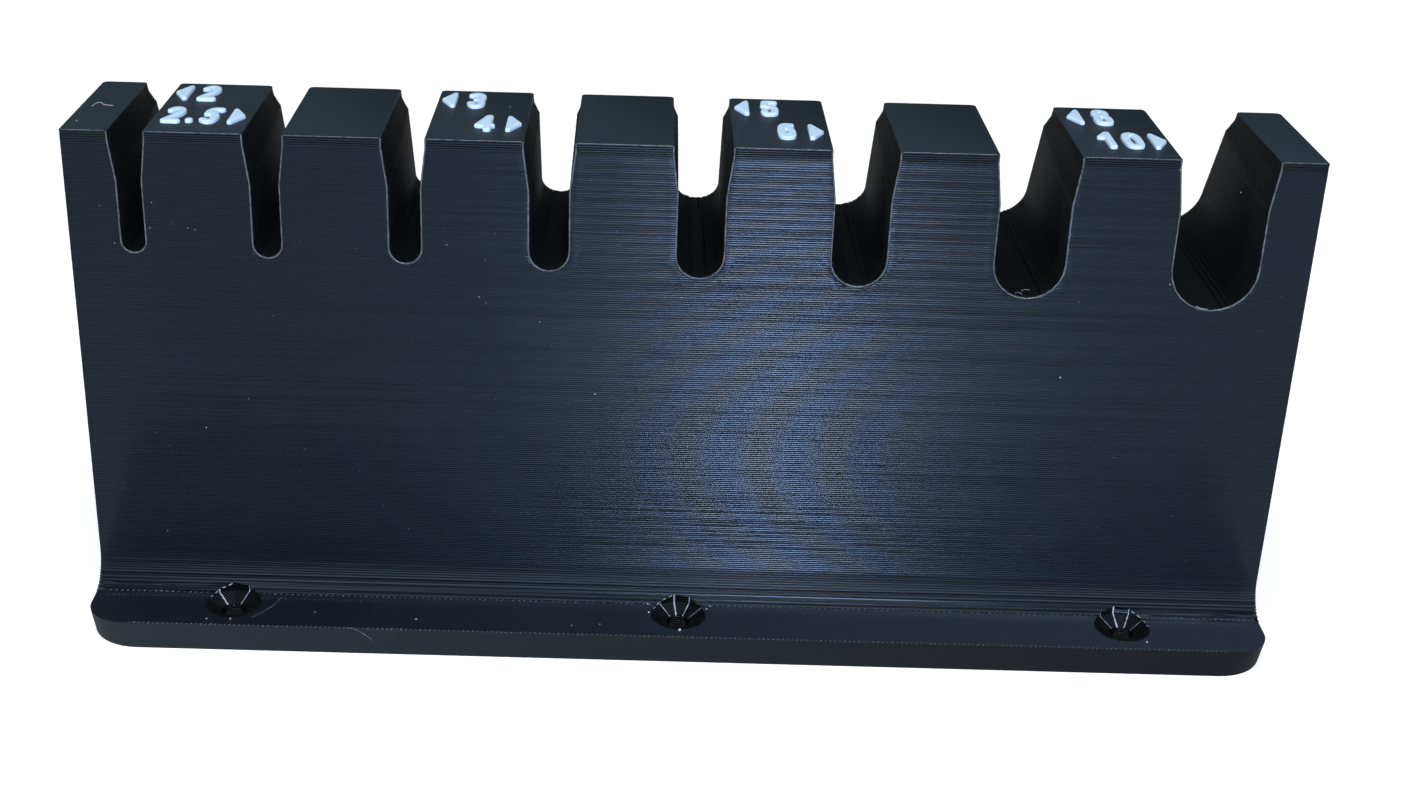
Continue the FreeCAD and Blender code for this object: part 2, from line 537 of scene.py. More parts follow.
def in_screw_hole(place):
    """Whether a place lies in or on the rim of one of the foot's screw holes."""
    reaches = [math.hypot(place.x - x, place.y - SCREW_ROW) for x in SCREW_PLACES]
    return min(reaches) < HEAD_RADIUS + 2 * TOUCH


def round_edges(bm, chosen, radius, segments):
    """Rounds the edges that the test chooses."""
    bmesh.ops.bevel(
        bm, geom=[edge for edge in bm.edges if chosen(edge)], offset=radius, offset_type="OFFSET",
        segments=segments, profile=0.5, affect="EDGES", clamp_overlap=True, material=-1,
    )


# The swollen bands beside the slots: the number of rings that carry them, and the heights
# between which they come out above the hollow round.
SWELL_RINGS = 6
SWELL_FROM = 12.0 * MM
SWELL_FULL = 18.0 * MM


def swell_slot_edges(bm, settings):
    """Bands beside the slots and ends on the wall's front, where the bead swells a little."""
    facing = [face for face in bm.faces if face.normal.y < -0.999]
    level = [face for face in facing if abs(face.calc_center_median().y - WALL_FRONT) < TOUCH]
    front = max(level, key=lambda face: face.calc_area())
    ring = settings.swell_width / 4
    for _ in range(SWELL_RINGS):
        bmesh.ops.inset_region(
            bm, faces=[front], thickness=ring, use_even_offset=True, use_boundary=True
        )
    for vert in bm.verts:
        if abs(vert.co.y - WALL_FRONT) > TOUCH:
            continue
        inward = slot_edge_distance(vert.co.x, vert.co.z) - settings.corner_round - ring
        across = inward / settings.swell_width
        above_round = min(max((vert.co.z - SWELL_FROM) / (SWELL_FULL - SWELL_FROM), 0), 1)
        if 0 < across < 1:
            vert.co.y -= above_round * settings.swell_height * math.sin(math.pi * across) ** 2


def cut_layers(bm, settings):
    """Three level rings in each layer: its seam and the two ends of the bead's flat."""
    layer = settings.layer_height
    chamfer = settings.seam_chamfer
    rest = bm.verts[:] + bm.edges[:] + bm.faces[:]
    for index in range(round(TOP / layer)):
        for height in (index * layer, index * layer + chamfer, (index + 1) * layer - chamfer):
            if height <= 0:
                continue
            cut = bmesh.ops.bisect_plane(
                bm, geom=rest, dist=0.4 * TOUCH, plane_co=(0, 0, height), plane_no=(0, 0, 1)
            )
            rest = [part for part in cut["geom"] if reaches_above(part, height)]


def reaches_above(part, height):
    """Whether a vertex, edge or face has a place above that height."""
    verts = [part] if isinstance(part, bmesh.types.BMVert) else part.verts
    return any(vert.co.z > height - 0.2 * TOUCH for vert in verts)


# The seams of the last layers under the top are this many times as deep as the others.
LAST_SEAMS = 2.5


def lay_beads(bm, tree, settings):
    """Moves each ring level to where its layer's bead would lie, with a groove at each seam."""
    bm.normal_update()
    layer = settings.layer_height
    wobble = settings.layer_wobble
    draws = random.Random(7)
    shifts = [draws.uniform(-wobble, wobble) for _ in range(round(TOP / layer) + 1)]
    moves = []
    for vert in bm.verts:
        side = Vector((vert.normal.x, vert.normal.y, 0))
        on_level = any(abs(face.normal.z) > 0.98 for face in vert.link_faces)
        if side.length < 0.15 or on_level or vert.co.z < TOUCH or in_screw_hole(vert.co):
            continue
        side.normalize()
        index = round(vert.co.z / layer)
        at_seam = abs(vert.co.z - index * layer) < TOUCH
        if not at_seam:
            index = math.floor(vert.co.z / layer)
        middle = (index + 0.5) * layer
        start = Vector((vert.co.x, vert.co.y, middle))
        way = side if middle >= vert.co.z else -side
        hit = tree.ray_cast(start + way * 2 * TOUCH, -way, 3 * MM)[0]
        if hit is None:
            continue
        inset = 0
        if at_seam:
            in_last = vert.co.z > TOP - settings.last_band - 0.05 * MM
            inset = (LAST_SEAMS if in_last else 1) * settings.groove_depth
        moved = hit + side * (shifts[index] - inset)
        moves.append((vert, moved.x, moved.y))
    for vert, x, y in moves:
        vert.co.x = x
        vert.co.y = y


class StandSettings(bpy.types.PropertyGroup):
    layer_height: length_setting("Layer height", "Height of one printed layer", 0.3)
    seam_chamfer: length_setting(
        "Seam height", "How far the bead curves in above and below each seam", 0.08,
    )
    groove_depth: length_setting("Groove depth", "Depth of the seam between two layers", 0.018)
    layer_wobble: length_setting("Layer wobble", "How far a layer stands in or out by chance", 0.006)
    last_band: length_setting("Last layers", "Height of the band of deeper seams under the top", 1.2)
    corner_round: length_setting(
        "Corner round", "Rounding of the upright corners on the wall's front", 0.05,
    )
    back_round: length_setting("Back round", "Rounding of the wall's corners on its leaning back", 0.6)
    top_round: length_setting("Top round", "Rounding of the top's front edge", 0.07)
    facet_round: length_setting("Facet round", "Rounding between the facets of the screw recesses", 0.25)
    swell_width: length_setting("Swell width", "Width of the swollen band beside each slot", 1.0)
    swell_height: length_setting("Swell height", "How far that band stands proud", 0.008)
    bead_depth: length_setting("Bead depth", "How far the round back of each bead stands out", 0.035)
    grain_depth: length_setting("Grain depth", "Depth of the plastic's fine grain", 0.0015)
    bead_width: length_setting("Bead width", "Width of the beads that hatch the level faces", 0.45)
    hatch_depth: length_setting("Hatch depth", "Depth of the hatching on the level faces", 0.06)
    wall_roughness: share_setting("Wall roughness", "Roughness of the upright faces", 0.2)
    slot_roughness: share_setting("Slot roughness", "Roughness inside the slots", 0.75)
    top_roughness: share_setting("Top roughness", "Roughness of the level faces", 0.5)
    gloss_level: share_setting("Gloss level", "Strength of the plastic's reflection", 0.2)
    gloss_colour: colour_setting("Gloss colour", "Tint of the plastic's reflection", (0.62, 0.82, 1.0))
    plastic_colour: colour_setting("Plastic colour", "Colour of the plastic", (0.0035, 0.005, 0.0085))
    # Painted light: a lighter colour for the level top.
    top_painted_light_colour: colour_setting(
        "Top colour", "Colour of the plastic on the level top", (0.016, 0.0265, 0.0365),
    )
    foot_left_colour: colour_setting(
        "Foot left colour", "Colour of the foot's front face at its left end", (0.012, 0.0155, 0.017),
    )
    foot_right_colour: colour_setting(
        "Foot right colour", "Colour of the foot's front face at its right end", (0.002, 0.001, 0.0005),
    )
    # Painted glints: a paler colour for the threads of the foot's hatching.
    foot_thread_glint_colour: colour_setting(
        "Foot top colour", "Colour of the hatching's threads on the foot's top", (0.045, 0.06, 0.09),
    )
    # Painted shade: a darker colour inside the slots and in the screw holes.
    slot_painted_shade_colour: colour_setting(
        "Slot colour", "Colour of the plastic inside the slots", (0.0015, 0.0016, 0.0014),
    )


class StandBody(bpy.types.Operator):
    """Builds the printed body, with its layers, over the frame's solid"""

    bl_idname = "hexstand.body"
    bl_label = "Printed body"

    def execute(self, context):
        settings = context.scene.hexstand_body
        bm = bmesh.new()
        bm.from_mesh(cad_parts["stand"].data)
        bmesh.ops.remove_doubles(bm, verts=bm.verts, dist=0.1 * TOUCH)
        bmesh.ops.dissolve_limit(bm, angle_limit=math.radians(1), verts=bm.verts, edges=bm.edges)
        round_edges(bm, is_wall_front_edge, settings.corner_round, 2)
        round_edges(bm, is_wall_back_edge, settings.back_round, 3)
        round_edges(bm, is_facet_edge, settings.facet_round, 2)
        swell_slot_edges(bm, settings)
        bm.normal_update()
        tree = BVHTree.FromBMesh(bm)
        cut_layers(bm, settings)
        lay_beads(bm, tree, settings)
        round_edges(bm, is_top_front_edge, settings.top_round, 2)
        mesh = mesh_from(bm, "printed_stand")
        mesh.shade_smooth()
        mesh.set_sharp_from_angle(angle=math.radians(38))
        for polygon in mesh.polygons:
            polygon.use_smooth = not in_screw_hole(polygon.center)
        piece = add_piece("printed_stand", mesh, printed_plastic(settings))
        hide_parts("stand")
        return {"FINISHED"}


# Size marks

# The numerals' strokes over a unit square, from the lower left corner of each numeral.
STROKES = {
    "0": (
        ((0.5, 1), (0.1, 0.92), (0, 0.5), (0.1, 0.08), (0.5, 0),
         (0.9, 0.08), (1, 0.5), (0.9, 0.92), (0.5, 1)),
    ),
    "1": (((0, 0.72), (0.45, 0.84), (1, 1)), ((1, 1), (1, 0))),
    "2": (((0, 0.84), (0.25, 1), (0.75, 1), (1, 0.82), (0.9, 0.56), (0.3, 0.22), (0, 0)), ((0, 0), (1, 0))),
    "3": (
        ((0, 0.9), (0.15, 1), (0.75, 1), (1, 0.82), (0.9, 0.6), (0.5, 0.54)),
        ((0.6, 0.54), (0.95, 0.46), (1, 0.16), (0.7, 0), (0.25, 0), (0, 0.22)),
    ),
    "4": (((0.74, 1), (0, 0.3)), ((0, 0.3), (1, 0.3)), ((0.74, 1), (0.74, 0))),
    "5": (
        ((0.95, 1), (0.1, 1)),
        ((0.1, 1), (0, 0.66)),
        ((0, 0.66), (0.75, 0.64), (1, 0.42), (0.95, 0.06), (0.5, 0), (0.1, 0.0), (0, 0.22)),
    ),
    "s": (
        ((1.1, 1), (0.45, 1), (0.12, 0.8), (0.1, 0.62)),
        ((0.1, 0.62), (0.75, 0.62), (1, 0.4), (0.8, 0.04), (0.4, 0), (0, 0.14)),
    ),
    "6": (
        ((0.9, 0.97), (0.4, 1), (0.05, 0.85), (0, 0.45), (0.1, 0.05), (0.5, 0), (0.9, 0.05), (1, 0.35),
         (0.9, 0.66), (0.5, 0.7), (0.1, 0.66)),
        ((0.3, 0.86), (0.7, 0.84)),
        ((0.35, 0.2), (0.65, 0.2)),
    ),
    "8": (
        ((0.5, 1), (0.12, 0.95), (0.06, 0.72), (0.3, 0.6), (0.7, 0.6), (0.94, 0.72), (0.88, 0.95), (0.5, 1)),
        ((0.5, 0.6), (0.04, 0.5), (0, 0.2), (0.15, 0), (0.85, 0), (1, 0.2), (0.96, 0.5), (0.5, 0.6)),
    ),
    ".": (((0.5, 0.6), (0.5, 0.4)),),
}

# The arrows are filled.
ARROWS = {
    "<": ((1.0, 0.0), (1.0, 1.0), (0.0, 0.5)),
    ">": ((0.0, 1.0), (0.0, 0.0), (1.0, 0.5)),
}

# Each mark: the block that it stands on, whether it is in the front row, and its numerals,
# each with the distance of its left edge from the block's left edge and its width, in mm.
MARKS = {
    "2": (1, False, (("<", 0.55, 1.95), ("2", 3.75, 2.6))),
    "2.5": (1, True, (("2", 1.3, 2.55), (".", 4.4, 1.0), ("s", 6.1, 2.45), (">", 9.8, 1.95))),
    "3": (3, False, (("<", 0.55, 1.95), ("3", 3.95, 2.45))),
    "4": (3, True, (("4", 5.75, 2.7), (">", 9.85, 1.95))),
    "5": (5, False, (("<", 0.55, 1.95), ("5", 4.0, 2.45))),
    "6": (5, True, (("6", 5.75, 2.45), (">", 9.8, 1.95))),
    "8": (7, False, (("<", 0.95, 1.95), ("8", 4.35, 2.6))),
    "10": (7, True, (("1", 3.2, 1.95), ("0", 6.25, 2.7), (">", 10.0, 1.95))),
}

# The decimal point's height as a share of the numerals'.
POINT_HEIGHT = 0.3

# Spacing of the grid that a mark is cut from, and how deep it is sunk into the top.
GRID_STEP = 0.1 * MM
MARK_SUNK = 0.2 * MM


class MarkSettings(bpy.types.PropertyGroup):
    mark_rise: length_setting("Rise", "How far the marks stand above the top", 0.45)
    mark_edge: length_setting("Edge round", "Rounding of the marks' upper edges", 0.2)
    stroke_width: length_setting("Stroke width", "Width of the numerals' strokes", 1.05)
    arrow_round: length_setting("Arrow round", "Rounding of the arrows' corners", 0.35)
    numeral_height: length_setting("Numeral height", "Height of the numerals, from front to back", 6.4)
    arrow_height: length_setting("Arrow height", "Height of the arrows, from front to back", 5.9)
    front_row: length_setting("Front row", "Distance of the front row's middle from the wall's front", 6.9)
    back_row: length_setting("Back row", "Distance of the back row's middle from the wall's front", 17.2)
    mark_colour: colour_setting("Mark colour", "Colour of the raised marks", (0.58, 0.79, 1.0))


def cut_corners(path):
    """The path with its corners rounded off, between its own two ends."""
    for _ in range(3):
        rounded = [path[0]]
        for a, b in zip(path, path[1:]):
            rounded.append(0.75 * a + 0.25 * b)
            rounded.append(0.25 * a + 0.75 * b)
        rounded.append(path[-1])
        path = rounded
    return path


def path_distance(places, path):
    """Distance from each place to a path of straight pieces."""
    nearest = np.full(len(places), np.inf)
    for a, b in zip(path, path[1:]):
        along = b - a
        share = np.clip((places - a) @ along / max(along @ along, 1e-12), 0, 1)
        offset = places - a - share[:, None] * along
        nearest = np.minimum(nearest, np.hypot(offset[:, 0], offset[:, 1]))
    return nearest


def glyph_distance(places, glyph, width, height, settings):
    """Signed distance from places to a numeral's or arrow's outline, negative inside it."""
    if glyph in ARROWS:
        reach = settings.arrow_round
        size = np.array((width - 2 * reach, height - 2 * reach))
        corners = [reach + np.array(corner) * size for corner in ARROWS[glyph]]
        outline = corners + corners[:1]
        nearest = path_distance(places, outline)
        inside = np.full(len(places), True)
        for a, b in zip(outline, outline[1:]):
            turn = (b[0] - a[0]) * (places[:, 1] - a[1]) - (b[1] - a[1]) * (places[:, 0] - a[0])
            inside &= turn > 0
        return np.where(inside, -nearest, nearest) - reach
    reach = min(settings.stroke_width, width) / 2
    size = np.array((width - 2 * reach, height - 2 * reach))
    nearest = np.full(len(places), np.inf)
    for stroke in STROKES[glyph]:
        path = cut_corners([reach + np.array(point) * size for point in stroke])
        nearest = np.minimum(nearest, path_distance(places, path))
    return nearest - reach


def add_glyph(bm, glyph, left, foot, width, height, settings):
    """A numeral or arrow as a flat raised solid with rounded upper edges."""
    columns = math.ceil(width / GRID_STEP) + 4
    rows = math.ceil(height / GRID_STEP) + 4
    xs = (np.arange(columns) - 1.5) * GRID_STEP
    ys = (np.arange(rows) - 1.5) * GRID_STEP
    grid = np.array([(x, y) for y in ys for x in xs])
    gaps = glyph_distance(grid, glyph, width, height, settings)
    slope_y, slope_x = np.gradient(gaps.reshape(rows, columns), GRID_STEP)
    slope = np.stack((slope_x.ravel(), slope_y.ravel()), axis=1)
    slope /= np.maximum(np.linalg.norm(slope, axis=1), 1e-9)[:, None]
    outside = gaps > 0
    grid[outside] -= gaps[outside, None] * slope[outside]
    verts = {}
    faces = []
    for row in range(rows - 1):
        for column in range(columns - 1):
            first = row * columns + column
            ring = (first, first + 1, first + columns + 1, first + columns)
            if min(gaps[index] for index in ring) >= 0:
                continue
            for index in ring:
                if index not in verts:
                    verts[index] = bm.verts.new((grid[index][0], grid[index][1], TOP - MARK_SUNK))
            faces.append(bm.faces.new([verts[index] for index in ring]))
    raised = bmesh.ops.extrude_face_region(bm, geom=faces, use_keep_orig=True)["geom"]
    upper = [part for part in raised if isinstance(part, bmesh.types.BMVert)]
    gaps = glyph_distance(np.array([vert.co[:2] for vert in upper]), glyph, width, height, settings)
    edge = settings.mark_edge
    for vert, gap in zip(upper, gaps):
        inward = edge - min(max(-gap, 0), edge)
        vert.co.z = TOP + settings.mark_rise - edge + math.sqrt(max(edge * edge - inward * inward, 0))
    own = list(verts.values()) + upper
    bmesh.ops.translate(bm, verts=own, vec=(left, foot, 0))


def mark_mesh(name, start, middle, glyphs, settings):
    """One mesh of a mark's numerals and arrow, each a closed solid sunk a little into the top."""
    bm = bmesh.new()
    for glyph, left, width in glyphs:
        height = settings.arrow_height if glyph in ARROWS else settings.numeral_height
        foot = middle - height / 2
        if glyph == ".":
            height *= POINT_HEIGHT
        add_glyph(bm, glyph, start + left * MM, foot, width * MM, height, settings)
    bmesh.ops.remove_doubles(bm, verts=bm.verts, dist=0.005 * MM)
    bmesh.ops.dissolve_limit(bm, angle_limit=math.radians(0.5), verts=bm.verts, edges=bm.edges)
    bmesh.ops.recalc_face_normals(bm, faces=bm.faces)
    return mesh_from(bm, name)


class StandMarks(bpy.types.Operator):
    """Builds the raised white key sizes with their arrows"""

    bl_idname = "hexstand.marks"
    bl_label = "Size marks"

    def execute(self, context):
        settings = context.scene.hexstand_marks
        material = white_print(settings)
        for size, (block, in_front, numerals) in MARKS.items():
            row = settings.front_row if in_front else settings.back_row
            name = "size_mark_" + size.replace(".", "_")
            mesh = mark_mesh(name, block_start(block), WALL_FRONT + row, numerals, settings)
            mesh.shade_smooth()
            mesh.set_sharp_from_angle(angle=math.radians(40))
            add_piece(name, mesh, material)
        return {"FINISHED"}


# Small beads: in the screw holes, round the slots' front edges, along the top's front edge, and
# as stitches along the hollow round and the foot's front edge


class BeadSettings(bpy.types.PropertyGroup):
    corner_bead: length_setting("Corner bead", "Thickness of the thickest beads in the screw holes", 0.3)
    # The rim and edge beads are painted pale as glints along the edges.
    rim_bead: length_setting("Rim bead", "Thickness of the pale bead round each slot's front edge", 0.26)
    edge_bead: length_setting("Edge bead", "Thickness of the pale bead along the top's front edge", 0.13)
    stitch_length: length_setting("Stitch length", "Length of each slanted stitch", 0.66)
    stitch_width: length_setting("Stitch width", "Width of each slanted stitch", 0.2)
    ledge_pitch: length_setting(
        "Ledge pitch", "Distance between the stitches on the round's first ledge", 0.78,
    )
    foot_pitch: length_setting("Foot pitch", "Distance between the stitches on the foot", 0.64)
    bead_gloss: share_setting("Bead gloss", "Strength of the small beads' reflection", 0.5)
    # Painted glints: the rim beads, the top's edge bead and the stitches are coloured paler than the plastic.
    bead_glint_colour: colour_setting(
        "Bead colour", "Colour of the rim beads and stitches where they are palest", (0.075, 0.095, 0.12),
    )
    # Painted glints: the screw holes' beads are coloured nearly white.
    corner_glint_colour: colour_setting(
        "Corner colour", "Colour of the screw holes' beads where they are palest", (0.45, 0.52, 0.66),
    )


def round_height(behind):
    """Height of the foot and its hollow round at a distance behind the wall's front."""
    into_round = max(behind + FOOT_ROUND, 0)
    rise = FOOT_ROUND - math.sqrt(max(FOOT_ROUND ** 2 - into_round ** 2, 0))
    return FOOT_TOP + rise


# Beads in the three screw holes: the corner that each lies in, counted round from +X, and its
# thickness as a share of the corner bead's. The rim beads are dashes from that corner to the next.
CORNER_BEADS = (
    ((2, 0.35), (4, 0.9)),
    ((1, 0.12), (2, 0.36), (3, 0.8), (4, 0.36)),
    ((1, 0.12), (2, 0.5), (3, 0.9), (4, 0.25)),
)
RIM_BEADS = (
    ((3, 0.5), (4, 0.3)),
    ((3, 0.3), (4, 0.4)),
    ((0, 0.3), (1, 0.5)),
)

# Where the two dashes of a rim bead start and end, as shares of the way to the next corner.
RIM_DASHES = ((0.15, 0.4), (0.6, 0.8))


def facet_threads(settings):
    """Threads down the corners of the screw holes and along their rims."""
    threads = []
    for x, corners, rims in zip(SCREW_PLACES, CORNER_BEADS, RIM_BEADS):
        for index, thickness in corners:
            lip = facet_corner(x, BORE_RADIUS, index)
            corner = facet_corner(x, HEAD_RADIUS, index)
            rim = round_height(corner.y - WALL_FRONT)
            places = [(lip.x, lip.y, FOOT_TOP - SINK_DEPTH), (corner.x, corner.y, FOOT_TOP)]
            if rim > FOOT_TOP + 0.05 * MM:
                places.append((corner.x, corner.y, rim))
            threads.append((settings.corner_bead * thickness, places))
        for index, thickness in rims:
            start = facet_corner(x, HEAD_RADIUS, index)
            end = facet_corner(x, HEAD_RADIUS, index + 1)
            for steps in RIM_DASHES:
                dash = [start.lerp(end, step) for step in steps]
                places = [(point.x, point.y, round_height(point.y - WALL_FRONT)) for point in dash]
                threads.append((settings.corner_bead * thickness, places))
    return threads


def facet_corner(x, radius, index):
    """A corner of a screw hole's facets at that distance from the hole's middle."""
    angle = 2 * math.pi * index / HEAD_SIDES
    return Vector((x + radius * math.cos(angle), SCREW_ROW + radius * math.sin(angle), 0))


# How deep the beads' middles lie in the plastic, at the slots' rims and at the top's front edge,
# and how far the top's beads stay off the slots.
RIM_INSET = 0.1 * MM
EDGE_INSET = 0.03 * MM
EDGE_MARGIN = 0.3 * MM


def slot_rim(centre, half_width):
    """Places down one side of a slot's front edge, round its floor and up the other side."""
    half_mouth = half_width + MOUTH_FLARE
    floor = TOP - SLOT_CENTRE_DEPTH
    side = [
        (half_mouth + RIM_INSET, TOP - 0.05 * MM),
        (half_mouth + RIM_INSET, TOP - LIP_DEPTH),
        (half_width + RIM_INSET, TOP - FLARE_DEPTH),
    ]
    radius = half_width + RIM_INSET
    turns = np.linspace(0, math.pi, 13)
    arc = [(radius * math.cos(turn), floor - radius * math.sin(turn)) for turn in turns]
    outline = side + arc + [(-across, height) for across, height in reversed(side)]
    return [(centre + across, WALL_FRONT + RIM_INSET, height) for across, height in outline]


def rim_threads(settings):
    """Threads round every slot's front edge and along every block's top front edge."""
    threads = [(settings.rim_bead, slot_rim(*slot)) for slot in SLOTS]
    ends = [-HALF_LENGTH]
    for centre, half_width in SLOTS:
        ends += [centre - half_width - MOUTH_FLARE, centre + half_width + MOUTH_FLARE]
    ends.append(HALF_LENGTH)
    for start, end in zip(ends[::2], ends[1::2]):
        line = (start + EDGE_MARGIN, end - EDGE_MARGIN)
        places = [(x, WALL_FRONT + EDGE_INSET, TOP - EDGE_INSET) for x in line]
        threads.append((settings.edge_bead, places))
    return threads


# Rows of stitches: distance behind the wall's front, height, how far the row stays off the
# foot's ends, and the setting that holds its pitch.
STITCH_ROWS = (
    (-3.35 * MM, 4.22 * MM, 1.5 * MM, "ledge_pitch"),
    (-4.1 * MM, 3.92 * MM, 1.5 * MM, "foot_pitch"),
    (0.12 * MM - FOOT_REACH, FOOT_TOP - 0.03 * MM, 6.0 * MM, "foot_pitch"),
)

# Stitches stay this far off the screw holes.
HOLE_MARGIN = 0.3 * MM


def add_stitches(bm, behind, height, margin, pitch, settings, draws):
    """A row of slanted stitches along the foot, left out at the screw holes."""
    count = int(2 * (HALF_LENGTH - margin) / pitch)
    for index in range(count):
        x = (index - (count - 1) / 2) * pitch
        place = Vector((x, WALL_FRONT + behind, height))
        nearest = min(math.hypot(x - hole, place.y - SCREW_ROW) for hole in SCREW_PLACES)
        if nearest < HEAD_RADIUS + HOLE_MARGIN:
            continue
        stitch = settings.stitch_length * draws.uniform(0.7, 1.1)
        verts = bmesh.ops.create_icosphere(bm, subdivisions=1, radius=0.5)["verts"]
        size = Matrix.Diagonal((stitch, settings.stitch_width, 0.8 * settings.stitch_width))
        turn = Matrix.Rotation(math.radians(45 + draws.uniform(-6, 6)), 3, "Z")
        bmesh.ops.transform(bm, matrix=Matrix.Translation(place) @ (turn @ size).to_4x4(), verts=verts)


def stitch_mesh(name, settings):
    """All rows of stitches in one mesh."""
    draws = random.Random(5)
    bm = bmesh.new()
    for behind, height, margin, pitch in STITCH_ROWS:
        add_stitches(bm, behind, height, margin, getattr(settings, pitch), settings, draws)
    return mesh_from(bm, name)


class StandBeads(bpy.types.Operator):
    """Lays the small beads in the screw holes and on the edges, and the stitches on the foot"""

    bl_idname = "hexstand.beads"
    bl_label = "Small beads"

    def execute(self, context):
        settings = context.scene.hexstand_beads
        # Painted glints: a pale material for the rim beads, the top's edge bead and the stitches.
        pale = glint_painted_plastic("smooth_beads_painted_glint", settings.bead_glint_colour, settings)
        # Painted glints: a nearly white material for the screw holes' beads.
        palest = glint_painted_plastic("corner_beads_painted_glint", settings.corner_glint_colour, settings)
        pieces = (
            (thread_mesh("screw_corner_beads", facet_threads(settings), "VECTOR"), palest),
            (thread_mesh("slot_rim_beads", rim_threads(settings), "VECTOR"), pale),
            (stitch_mesh("round_stitches", settings), pale),
        )
        for mesh, material in pieces:
            mesh.shade_smooth()
            add_piece(mesh.name, mesh, material)
        return {"FINISHED"}


# Dust and fibres

# Specks on the wall's front by place along X and height, in mm, with their size.
WALL_SPECKS = (
    (-69.5, 55.9, 0.2), (-69.0, 59.3, 0.16), (-74.2, 53.7, 0.14), (-64.6, 56.0, 0.16),
    (-66.5, 56.5, 0.14), (-63.7, 55.8, 0.12), (-27.3, 47.6, 0.2), (-26.4, 46.8, 0.14),
    (-12.0, 34.2, 0.28), (62.1, 51.9, 0.22), (-19.4, 44.3, 0.14), (-64.1, 27.7, 0.16),
    (0.6, 26.8, 0.18), (49.4, 38.4, 0.24), (61.3, 67.4, 0.16), (-31.4, 54.7, 0.16),
    (-75.7, 58.7, 0.14),
)

# Specks elsewhere, most on level faces, by place along X, distance behind the wall's front and
# height, in mm, with their size.
OTHER_SPECKS = (
    (-78.7, 3.7, 68.7, 0.3), (-24.3, 15.4, 68.7, 0.2), (-35.4, -8.6, 3.9, 0.3), (-10.6, -8.6, 3.9, 0.25),
    (-14.4, -9.1, 3.9, 0.2), (-49.3, -7.5, 3.9, 0.2), (72.8, 11.0, 61.0, 0.2),
    (-60.4, -9.8, 3.9, 0.4), (0.2, -9.6, 3.9, 0.5), (-4.0, -5.1, 3.9, 0.35), (3.9, -4.0, 4.0, 0.35),
    (4.4, -3.4, 4.2, 0.25), (-4.2, -3.3, 4.2, 0.3), (63.3, -9.5, 3.9, 0.35), (-63.6, -9.9, 3.9, 0.25),
    (-78.6, -7.7, 1.0, 0.3), (-78.3, -8.2, 1.4, 0.22), (-78.2, -8.2, 0.5, 0.28), (-78.9, -7.4, 0.7, 0.2),
)

# Fibres by their thickness and their places along X, behind the wall's front and above the
# base, in mm.
FIBRES = (
    (0.1, ((-78.5, 10.3, 68.75), (-77.8, 11.6, 68.9), (-76.9, 10.6, 68.9), (-75.9, 10.9, 68.75))),
    (0.02, ((-44.9, -11.3, 3.95), (-43.8, -11.33, 3.9), (-42.3, -11.35, 3.1), (-41.1, -11.35, 2.1))),
    (0.02, ((-57.6, -9.3, 3.95), (-56.5, -7.9, 3.95), (-55.1, -5.9, 4.1), (-54.5, -4.4, 4.3))),
    (0.04, ((42.3, 0.1, 50.0), (42.8, 1.0, 49.9), (43.3, 0.6, 49.8))),
    (0.05, ((43.4, 1.9, 49.75), (43.9, 2.3, 49.8), (44.5, 2.0, 49.85))),
    (0.07, ((65.9, 0.0, 49.0), (66.6, -0.05, 48.75), (67.4, -0.05, 48.65))),
)


class LintSettings(bpy.types.PropertyGroup):
    lint_colour: colour_setting("Lint colour", "Colour of the dust and fibres", (0.5, 0.52, 0.55))
    speck_scale: FloatProperty(
        name="Speck scale", description="Scales the larger specks of dust", default=1.0, min=0,
    )
    fine_specks: IntProperty(
        name="Fine specks", description="How many fine specks lie on the wall's front", default=90, min=0,
    )


def add_speck(bm, place, size, draws):
    """An uneven crumb of dust."""
    verts = bmesh.ops.create_icosphere(bm, subdivisions=1, radius=size * MM / 2)["verts"]
    for vert in verts:
        vert.co *= draws.uniform(0.6, 1.2)
    stretch = Matrix.Diagonal((draws.uniform(0.8, 1.6), draws.uniform(0.5, 0.9), draws.uniform(0.7, 1.2)))
    turn = Matrix.Rotation(draws.uniform(0, math.pi), 3, "Y")
    bmesh.ops.transform(bm, matrix=Matrix.Translation(place) @ (turn @ stretch).to_4x4(), verts=verts)


class StandLint(bpy.types.Operator):
    """Scatters the dust and lays the fibres"""

    bl_idname = "hexstand.lint"
    bl_label = "Dust and fibres"

    def execute(self, context):
        settings = context.scene.hexstand_lint
        material = lint_white(settings)
        draws = random.Random(11)
        bm = bmesh.new()
        for x, height, size in WALL_SPECKS:
            add_speck(bm, (x * MM, WALL_FRONT, height * MM), size * settings.speck_scale, draws)
        for x, behind, height, size in OTHER_SPECKS:
            place = (x * MM, WALL_FRONT + behind * MM, height * MM)
            add_speck(bm, place, size * settings.speck_scale, draws)
        laid = 0
        while laid < settings.fine_specks:
            x = draws.uniform(-0.97, 0.97) * HALF_LENGTH
            height = draws.uniform(10 * MM, TOP)
            if slot_edge_distance(x, height) > 0.5 * MM:
                add_speck(bm, (x, WALL_FRONT, height), draws.uniform(0.05, 0.11), draws)
                laid += 1
        add_piece("dust_specks", mesh_from(bm, "dust_specks"), material)
        fibres = []
        for thickness, places in FIBRES:
            line = [(x * MM, WALL_FRONT + behind * MM, height * MM) for x, behind, height in places]
            fibres.append((thickness * MM, line))
        add_piece("dust_fibres", thread_mesh("dust_fibres", fibres), material)
        return {"FINISHED"}


# Stage

